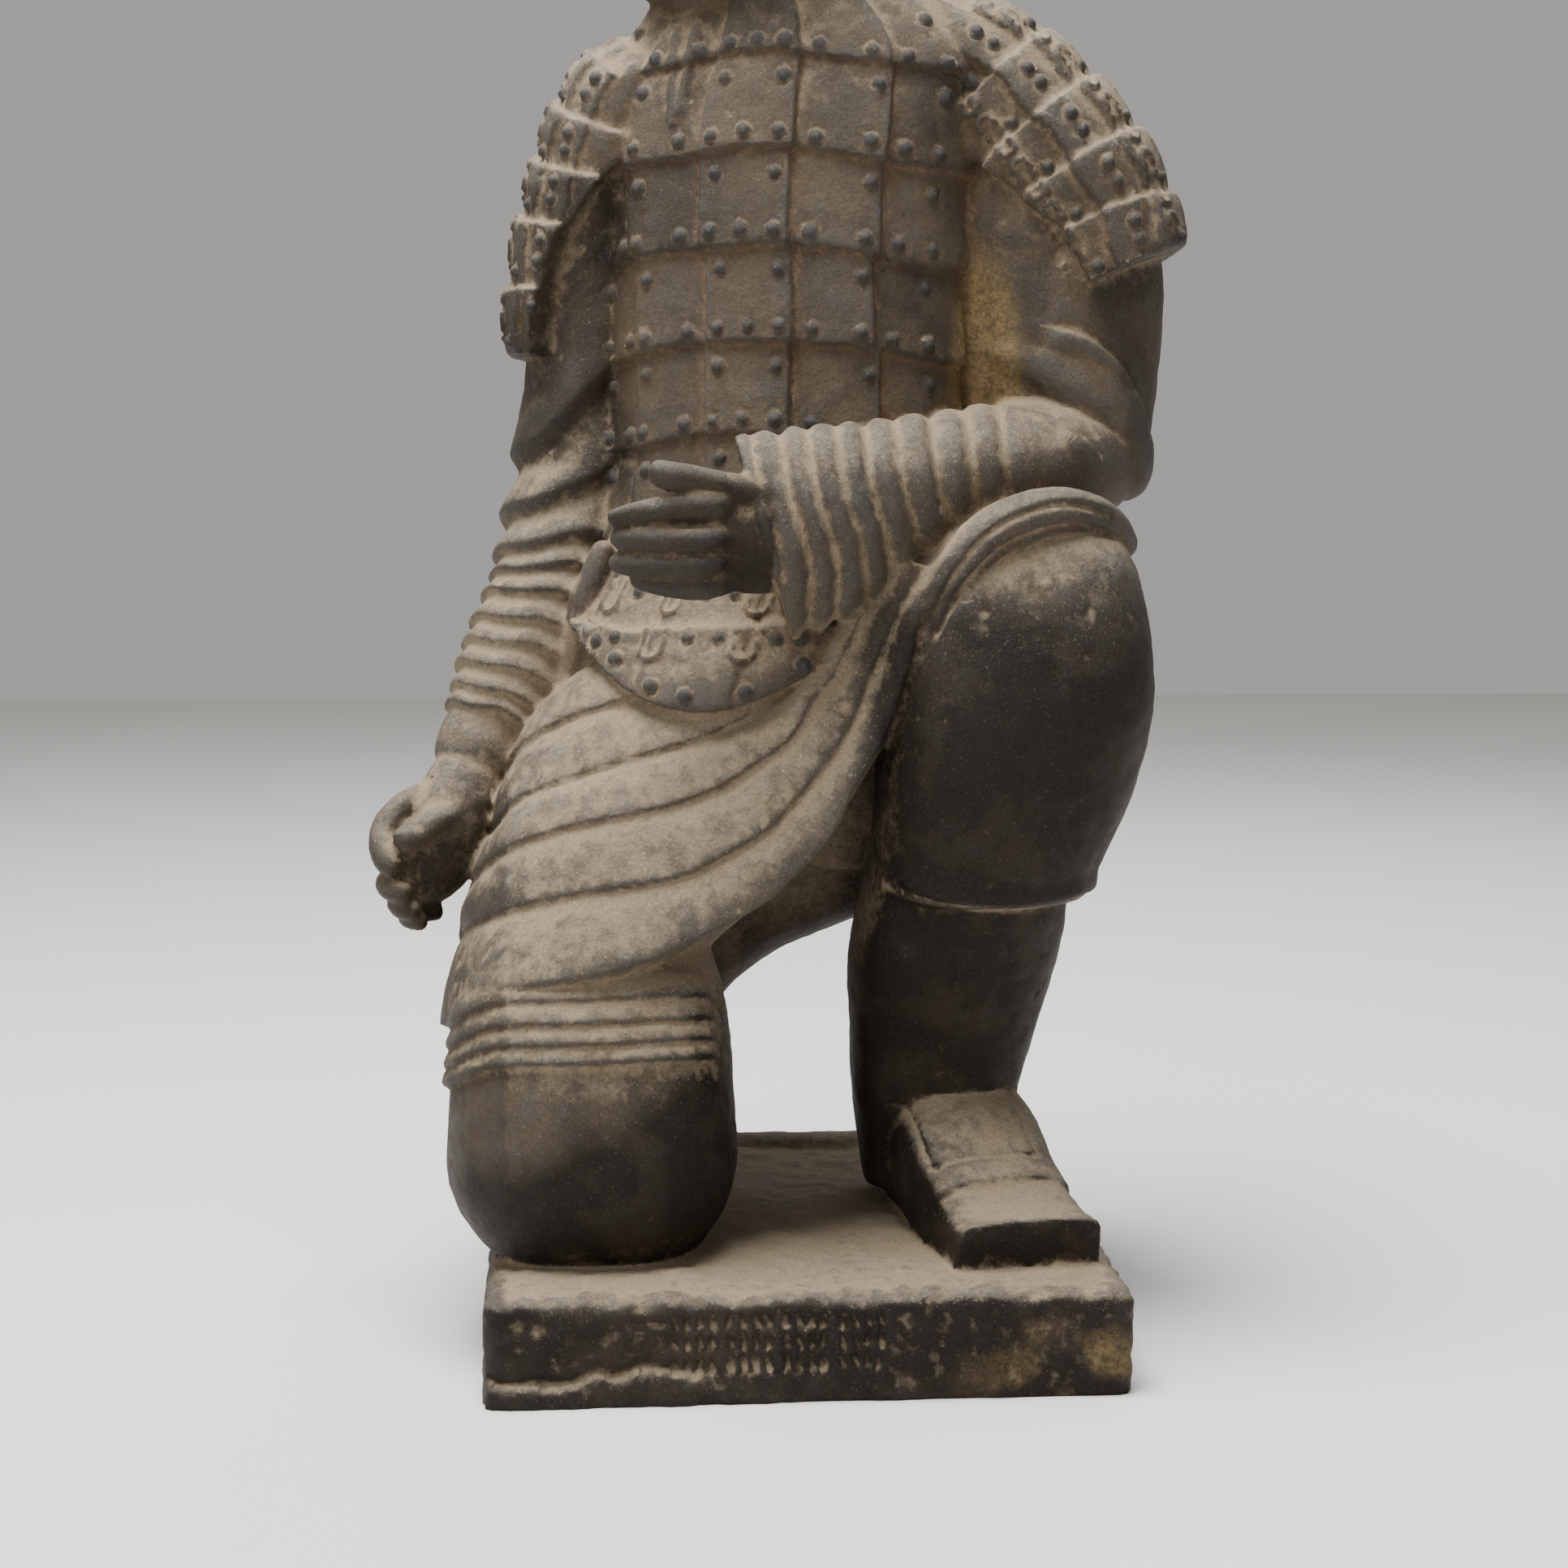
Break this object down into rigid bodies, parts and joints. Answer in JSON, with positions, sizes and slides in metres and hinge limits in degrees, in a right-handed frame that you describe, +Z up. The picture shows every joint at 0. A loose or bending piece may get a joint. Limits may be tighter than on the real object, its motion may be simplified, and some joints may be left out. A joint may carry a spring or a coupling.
{
  "type": "kneeling warrior statue",
  "caption": "Kneeling warrior in plated armour and pleated sleeves on a square slab, cast in one piece of fired clay.",
  "frame": {"origin": "middle of the slab's underside", "axes": "+Z up, the figure faces -Y, +X towards the raised knee"},
  "size_m": [0.5707, 0.4554, 1.2232],
  "materials": {
    "terracotta": "matte weathered fired clay, dusty in the hollows"
  },
  "bodies": {
    "root": {"kneeling_warrior": "terracotta"}
  },
  "joints": []
}
